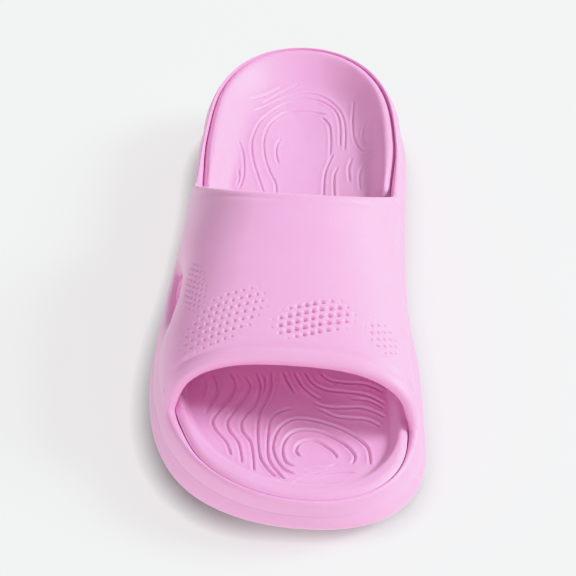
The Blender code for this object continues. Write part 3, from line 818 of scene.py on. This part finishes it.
def upper_cage():
    """Closed control cage of the upper, and the band_places of its band's outer points."""
    arcs = upper_columns()
    ring = ring_at(arcs)
    count = len(arcs)
    outer_wall, inner_wall = upper_wall(ring)
    lateral = np.arange(0, BAND_COLUMNS + 1)
    medial = np.arange(2 * BAND_COLUMNS + TOE_COLUMNS, BAND_COLUMNS + TOE_COLUMNS - 1, -1)
    low = outer_wall[-1][lateral]
    high = outer_wall[-1][medial]
    arch = band_arch(low, high)
    normal = face_normals(arch, low, high)
    place = np.arange(BAND_COLUMNS + 1) / BAND_COLUMNS
    tuck = SILL_TUCK * monotone(SILL["place"], SILL["tuck"], place)[:, None]
    arch[:, 0] -= normal[:, 0] * tuck
    arch[:, 1] -= normal[:, 1] * tuck * SILL_FOLLOW
    inner_arch = arch - normal * (WALL * monotone(CREST["place"], CREST["thickness"], place))[:, None, None]

    outer = np.concatenate([*outer_wall, arch.reshape(-1, 3)])
    inner = np.concatenate([*inner_wall, inner_arch.reshape(-1, 3)])
    wall_rows = len(outer_wall)
    arch_start = wall_rows * count
    arch_count = arch.shape[1]

    def wall(row, column):
        return row * count + column % count

    def band(k, r):
        if r == 0:
            return wall(wall_rows - 1, lateral[k])
        if r == arch_count + 1:
            return wall(wall_rows - 1, medial[k])
        return arch_start + k * arch_count + r - 1

    faces = []
    for row in range(wall_rows - 1):
        for c in range(count):
            faces.append((wall(row, c), wall(row, c + 1), wall(row + 1, c + 1), wall(row + 1, c)))
    for k in range(BAND_COLUMNS):
        for r in range(arch_count + 1):
            if r == 0 and VENT_COLUMNS[0] <= k < VENT_COLUMNS[1]:
                continue
            faces.append((band(k, r), band(k + 1, r), band(k + 1, r + 1), band(k, r + 1)))

    where = band_places(np.concatenate([low[:, None], arch, high[:, None]], axis=1))
    places = {}
    for k in range(BAND_COLUMNS + 1):
        for r in range(1, arch_count + 1):
            places[band(k, r)] = tuple(where[k, r])
    verts, solid = thick_sheet(outer, inner, faces, count)
    return verts, solid, places


def smoothed(mesh, level):
    """The mesh after subdivision, as a new mesh."""
    holder = bpy.data.objects.new("holder", mesh)
    bpy.context.scene.collection.objects.link(holder)
    smooth = holder.modifiers.new("smooth", "SUBSURF")
    smooth.levels = level
    smooth.render_levels = level
    smooth.uv_smooth = "NONE"
    graph = bpy.context.evaluated_depsgraph_get()
    result = bpy.data.meshes.new_from_object(holder.evaluated_get(graph))
    bpy.data.objects.remove(holder, do_unlink=True)
    return result


def search_tree(places):
    """Search tree of flat places, each under its own number."""
    tree = KDTree(len(places))
    for i, (x, y) in enumerate(places):
        tree.insert((x, y, 0), i)
    tree.balance()
    return tree


def divide_faces(work, faces, cuts):
    """Cuts every edge of the faces, and the faces with them."""
    edges = list(dict.fromkeys(e for face in faces for e in face.edges))
    bmesh.ops.subdivide_edges(work, edges=edges, cuts=cuts, use_grid_fill=True)
    work.normal_update()


def dimple_size(cluster, u, v):
    """Share of the full dimple at a place of a cluster: its size in the middle, falling to 0 at its edge."""
    cu, cv, length, width, turn, size = cluster[:6]
    c = math.cos(math.radians(turn))
    s = math.sin(math.radians(turn))
    q = math.hypot((c * (u - cu) + s * (v - cv)) / length, (c * (v - cv) - s * (u - cu)) / width)
    return size * min(1.0, DIMPLE_SLOPE * (1.0 - q))


def dimple_tree():
    """Search tree of all dimples in the band's coordinates, with the size of each."""
    places = []
    sizes = []
    lattice = range(-LATTICE_STEPS, LATTICE_STEPS + 1)
    for cluster in CLUSTERS:
        across, along = cluster[6:]
        for i in lattice:
            for j in lattice:
                u = cluster[0] + i * across[0] + j * along[0]
                v = cluster[1] + i * across[1] + j * along[1]
                size = dimple_size(cluster, u, v)
                if size > DIMPLE_SMALLEST:
                    places.append((u * MM, v * MM))
                    sizes.append(size)
    return search_tree(places), sizes


def trough(roll, distance):
    """Depth of the soft trough of a roll at a distance from the edge."""
    place, width, depth = roll
    return depth * math.exp(-((distance - place) / width) ** 2)


def mark_band(mesh, places):
    """Keeps the band's own coordinates in one UV layer and the distance from its rear edge in another."""
    mesh.uv_layers.new(name="band")
    mesh.uv_layers.new(name="rear")
    off = (OFF_BAND, OFF_BAND)
    for polygon in mesh.polygons:
        known = [places.get(v) for v in polygon.vertices]
        outside = None in known
        for loop, place in zip(polygon.loop_indices, known):
            mesh.uv_layers["band"].data[loop].uv = off if outside else place[:2]
            mesh.uv_layers["rear"].data[loop].uv = off if outside else (place[2], 0.0)


def press_dimples(mesh):
    """Divides the band finely round its dimples and presses them in, with the troughs of its two rolls."""
    work = bmesh.new()
    work.from_mesh(mesh)
    band = work.loops.layers.uv["band"]
    rear = work.loops.layers.uv["rear"]
    tree, sizes = dimple_tree()
    fine = []
    for face in work.faces:
        u = sum(loop[band].uv.x for loop in face.loops) / len(face.loops)
        v = sum(loop[band].uv.y for loop in face.loops) / len(face.loops)
        if u < OFF_BAND / 2 and tree.find((u, v, 0))[2] < DIMPLE_REACH * DIMPLE_RADIUS:
            fine.append(face)
    divide_faces(work, fine, DIMPLE_CUTS)
    for vert in work.verts:
        uv = vert.link_loops[0][band].uv
        if uv.x > OFF_BAND / 2:
            continue
        found = tree.find((uv.x, uv.y, 0))
        size = sizes[found[1]]
        q = found[2] / (DIMPLE_RADIUS * (DIMPLE_LEAST + (1 - DIMPLE_LEAST) * size))
        depth = DIMPLE_DEPTH * size * (1 - q * q) ** 2 if q < 1 else 0.0
        depth += trough(MOUTH_ROLL, uv.y) + trough(REAR_ROLL, vert.link_loops[0][rear].uv.x)
        vert.co -= vert.normal * depth
    work.to_mesh(mesh)
    work.free()


def build_upper():
    verts, faces, places = upper_cage()
    mesh = new_mesh("upper_fine", verts, faces)
    mark_band(mesh, places)
    mesh = smoothed(mesh, UPPER_LEVEL)
    press_dimples(mesh)
    new_piece("upper_piece", mesh, "upper", foam("upper_foam"))


def between(a, b, tau):
    """Point at the share tau of the straight way from a to b."""
    return a + (b - a) * tau


def tread_point(a, b, tau):
    """Point on the way from a to b across the tread, whose grooves bow towards the toe."""
    point = between(a, b, tau)
    point[1] -= GROOVE_BOW * 4 * tau * (1 - tau) * (np.linalg.norm(b - a) / BALL_WIDTH) ** 2
    return point


def build_sole():
    ring = full_ring(side_shares(groove_columns()))
    lift = groove_lift(ring["along"])
    heights = [row[0] for row in SOLE_SIDE]
    steps = np.arange(SIDE_ROWS * (len(heights) - 1) + 1) / SIDE_ROWS
    rings = [sole_side(ring, height, lift) for height in np.interp(steps, np.arange(len(heights)), heights)]
    verts, faces = stack_rings(rings, UNDER_STEPS, UNDER_STEPS, tread_point, between)
    new_piece("sole_piece", new_mesh("sole_fine", verts, faces), "sole", foam("sole_foam"))


def drawn_line(points):
    """Smooth curve through a contour line's points, as samples with the line's strength there."""
    p = np.array([points[0], *points, points[-1]], float) * MM
    samples = []
    for a, b, c, d in zip(p, p[1:], p[2:], p[3:]):
        count = max(2, int(np.linalg.norm(c - b) / LINE_SAMPLE))
        for t in np.arange(count) / count:
            samples.append(b + ((c - a) * t + (2 * a - 5 * b + 4 * c - d) * t ** 2
                                + (3 * b - a - 3 * c + d) * t ** 3) / 2)
    steps = np.linalg.norm(np.diff(samples, axis=0), axis=1)
    run = np.concatenate([[0.0], np.cumsum(steps)])
    return samples, smooth_step(0, LINE_FADE, np.minimum(run, run[-1] - run))


def contour_tree():
    """Search tree of all contour lines, with the strength at each sample."""
    samples = []
    strengths = []
    for contours, share in ((TOE_CONTOURS, 1.0), (HEEL_CONTOURS, HEEL_STRENGTH)):
        for points in contours:
            line, strength = drawn_line(points)
            samples.extend(line)
            strengths.extend(strength * share)
    return search_tree(samples), strengths


def contour_drop(distance, strength):
    """How far the bed lies lower at a distance from a contour line: its groove, less the bank beside it."""
    groove = LINE_DEPTH * math.exp(-(distance / LINE_WIDTH) ** 2)
    bank = BANK_HEIGHT * math.exp(-((distance - BANK_PLACE) / BANK_WIDTH) ** 2)
    return strength * (groove - bank)


def bed_share(places):
    """1 on the bed inside the cup, falling to 0 near the ledge's crest."""
    along = np.clip(0.5 - places[:, 1] / LENGTH, 0.0, 1.0)
    top = station("rim", along) + station("crest", along)
    return smooth_step(LINE_END_DEPTH, LINE_FULL_DEPTH, top - places[:, 2])


def press_contours(mesh):
    """Divides the bed finely along its contour lines and presses them in."""
    work = bmesh.new()
    work.from_mesh(mesh)
    work.normal_update()
    tree, strengths = contour_tree()
    reach = BANK_PLACE + BANK_WIDTH
    fine = []
    for face in work.faces:
        centre = face.calc_center_median()
        if face.normal.z > FACING_UP and tree.find((centre.x, centre.y, 0))[2] < reach:
            fine.append(face)
    divide_faces(work, fine, LINE_CUTS)
    shares = bed_share(np.array([v.co for v in work.verts]))
    for vert, share in zip(work.verts, shares):
        if vert.normal.z > FACING_UP and share > 0:
            found = tree.find((vert.co.x, vert.co.y, 0))
            vert.co.z -= share * contour_drop(found[2], strengths[found[1]])
    work.to_mesh(mesh)
    work.free()


def footbed_rings(ring):
    """Rings of the footbed's edge, from its underside over the ledge to the cup's foot, and that line."""
    along = ring["along"]
    start = inner_inset(ring) + GAP
    width = station("inset", along) + station("ledge", along) - start
    cup = station("cup", along)
    line = at_inset(ring, start + width + cup, 0)
    foot = bed_height(line[:, 0], 0.5 - line[:, 1] / LENGTH) + BED_DISH
    deck = station("deck", along) + GAP / 2
    top = station("rim", along) + station("crest", along)
    low = np.minimum(foot + LOW_LEDGE, top)
    standing = ledge_share(along, ring["side"])
    ledge = low + (top - low) * standing
    fall = station("fall", along) * standing
    edge = ledge - fall
    bevel = np.minimum(width, LEDGE_FALL_RUN)
    rings = [
        at_inset(ring, start + LEDGE_ROUND, deck),
        at_inset(ring, start, deck + LEDGE_ROUND),
        at_inset(ring, start, (deck + edge) / 2),
    ]
    for turn in np.linspace(0, math.pi / 2, ROUND_ROWS):
        inset = start + LEDGE_ROUND * (1 - math.cos(turn))
        rings.append(at_inset(ring, inset, edge - LEDGE_ROUND * (1 - math.sin(turn))))
    for share in np.linspace(0, 1, CUP_ROWS)[1:]:
        past = (width + cup - LEDGE_ROUND) * share + LEDGE_ROUND - width
        run = np.clip((past + np.sqrt(past ** 2 + CUP_SOFTNESS ** 2)) / 2 / cup, 0, 1)
        outward = np.clip((-past - width + bevel) / bevel, 0, 1)
        crest = ledge - fall * outward ** LEDGE_FALL_POWER
        height = foot + (crest - foot) * (1 - np.sin(run * np.pi / 2))
        rings.append(at_inset(ring, start + width + past, height))
    return rings, line


def build_footbed():
    rings, line = footbed_rings(full_ring(side_shares([])))
    front = line[:, 1].min()
    rear = line[:, 1].max()

    def bed(a, b, tau):
        point = between(a, b, tau)
        span = np.linalg.norm(b - a)
        inside = min(span * min(tau, 1 - tau), rear - point[1], point[1] - front)
        dish = BED_DISH * (1 - smooth_step(0, DISH_RUN, inside))
        point[2] = bed_height(point[0], 0.5 - point[1] / LENGTH) + dish
        return point

    verts, faces = stack_rings(rings, UNDER_STEPS, BED_STEPS, between, bed)
    mesh = new_mesh("footbed_fine", verts, faces)
    press_contours(mesh)
    new_piece("footbed_piece", mesh, "footbed", foam("footbed_foam"))


def set_inputs(node, values):
    """Sets sockets of a shader node by their names."""
    for name, value in values.items():
        node.inputs[name].default_value = value


def foam(name):
    """Matt moulded foam: faintly mottled colour and a fine skin."""
    material = bpy.data.materials.new(name)
    material.use_nodes = True
    tree = material.node_tree
    shader = tree.nodes["Principled BSDF"]
    set_inputs(shader, FOAM)
    place = tree.nodes.new("ShaderNodeTexCoord")
    mottle = tree.nodes.new("ShaderNodeTexNoise")
    set_inputs(mottle, MOTTLE_NOISE)
    ramp = tree.nodes.new("ShaderNodeValToRGB")
    for element, (position, colour) in zip(ramp.color_ramp.elements, FOAM_COLOURS):
        element.position = position
        element.color = colour
    skin = tree.nodes.new("ShaderNodeTexNoise")
    set_inputs(skin, SKIN_NOISE)
    bump = tree.nodes.new("ShaderNodeBump")
    set_inputs(bump, SKIN_BUMP)
    tree.links.new(place.outputs["Object"], mottle.inputs["Vector"])
    tree.links.new(place.outputs["Object"], skin.inputs["Vector"])
    tree.links.new(mottle.outputs["Fac"], ramp.inputs["Fac"])
    tree.links.new(ramp.outputs["Color"], shader.inputs["Base Color"])
    tree.links.new(skin.outputs["Fac"], bump.inputs["Height"])
    tree.links.new(bump.outputs["Normal"], shader.inputs["Normal"])
    return material


def paper():
    """Pale floor whose glow fades where the shoe stands close over it, in a painted contact shadow."""
    material = bpy.data.materials.new("paper")
    material.use_nodes = True
    tree = material.node_tree
    shader = tree.nodes["Principled BSDF"]
    set_inputs(shader, PAPER)
    # Painted contact shadow: the floor's glow fades by its ambient occlusion near the shoe
    painted_shadow = tree.nodes.new("ShaderNodeAmbientOcclusion")
    painted_shadow.inputs["Distance"].default_value = PAINTED_SHADOW_REACH
    glow = tree.nodes.new("ShaderNodeMath")
    glow.operation = "MULTIPLY"
    glow.inputs[1].default_value = FLOOR_GLOW
    deepen = tree.nodes.new("ShaderNodeMath")
    deepen.operation = "POWER"
    deepen.inputs[1].default_value = PAINTED_SHADOW_POWER
    tree.links.new(painted_shadow.outputs["AO"], deepen.inputs[0])
    tree.links.new(deepen.outputs["Value"], glow.inputs[0])
    tree.links.new(glow.outputs["Value"], shader.inputs["Emission Strength"])
    return material


def build_floor():
    half = FLOOR_HALF
    corners = [(-half, -half, 0), (half, -half, 0), (half, half, 0), (-half, half, 0)]
    mesh = new_mesh("floor", corners, [(0, 1, 2, 3)])
    mesh.materials.append(paper())
    floor = bpy.data.objects.new("floor", mesh)
    bpy.context.scene.collection.objects.link(floor)
    floor.location.z = -FLOOR_DROP


def build_lights():
    """White sky, a key light on the inner side and weaker ones at the heel, the toe and the outer side."""
    scene = bpy.context.scene
    scene.view_settings.view_transform = "Khronos PBR Neutral"
    world = bpy.data.worlds.new("studio")
    scene.world = world
    world.use_nodes = True
    set_inputs(world.node_tree.nodes["Background"], SKY)
    for name, place, size, power, colour in LIGHTS:
        light = bpy.data.lights.new(name, "AREA")
        light.size = size
        light.energy = power
        light.color = colour
        lamp = bpy.data.objects.new(name, light)
        scene.collection.objects.link(lamp)
        lamp.location = place
        lamp.rotation_euler = Vector(place).to_track_quat("Z", "Y").to_euler()


def build_camera():
    """The photo's view: the toe towards the camera, seen from above, turned a little to the inner side."""
    tilt = math.radians(CAMERA_ELEVATION)
    turn = math.radians(CAMERA_TURN)
    back = Vector((math.sin(turn) * math.cos(tilt), -math.cos(turn) * math.cos(tilt), math.sin(tilt)))
    camera = bpy.data.cameras.new("camera")
    camera.sensor_width = SENSOR_WIDTH
    camera.lens = CAMERA_LENS
    camera.clip_start = CLIP_START
    holder = bpy.data.objects.new("camera", camera)
    bpy.context.scene.collection.objects.link(holder)
    eye = Vector(FITTED_TARGET) + back * CAMERA_DISTANCE
    holder.location = eye
    holder.rotation_euler = (eye - Vector(CAMERA_AIM)).to_track_quat("Z", "Y").to_euler()
    bpy.context.scene.camera = holder


build_camera()
build_floor()
build_lights()
build_upper()
build_footbed()
build_sole()
